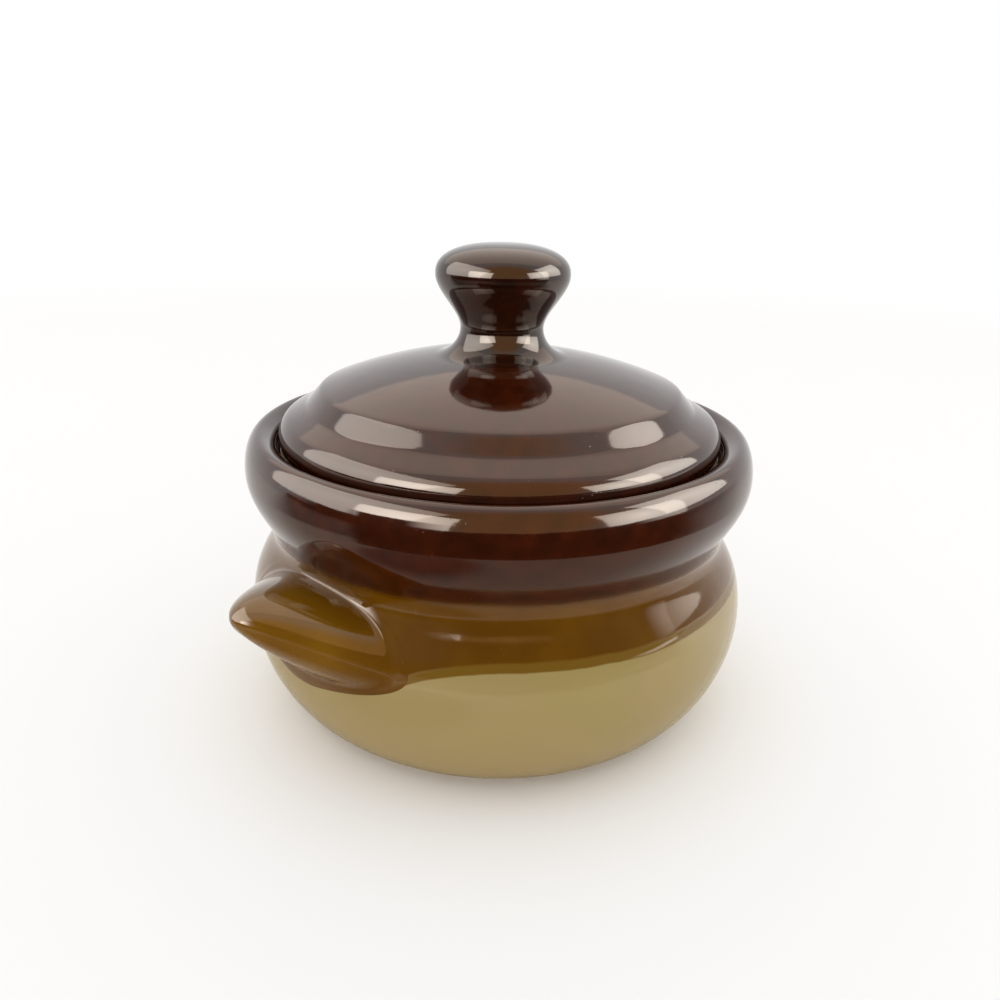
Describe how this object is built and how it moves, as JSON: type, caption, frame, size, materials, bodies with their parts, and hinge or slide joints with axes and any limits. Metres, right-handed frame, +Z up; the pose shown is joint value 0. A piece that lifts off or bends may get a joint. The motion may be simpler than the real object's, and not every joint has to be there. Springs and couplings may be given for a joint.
{
  "type": "bean pot",
  "caption": "Small round stoneware bean pot with a bulging belly, drawn-in neck, rolled rim and a lug handle, closed by a stepped dome lid with a knob that seats inside the rim.",
  "frame": {"origin": "centre of the pot's flat base, on the axis of the pot", "axes": "+Z up the pot's axis, +X from the axis towards the lug handle, +Y by the right-hand rule"},
  "size_m": [0.1449, 0.1306, 0.117],
  "materials": {
    "banded_glaze": "glossy buff glaze, ochre above the belly, brown at the neck and rim",
    "ochre_glaze": "glossy ochre glaze",
    "brown_glaze": "glossy dark brown glaze"
  },
  "bodies": {
    "pot": {"pot_body": "banded_glaze", "lug_handle": "ochre_glaze"},
    "lid": {"lid": "brown_glaze", "lid_knob": "brown_glaze"}
  },
  "joints": [
    {"name": "lid_lift", "type": "slide", "parent": "pot", "child": "lid", "axis": [0, 0, 1], "range_m": [0, 0.1]}
  ]
}
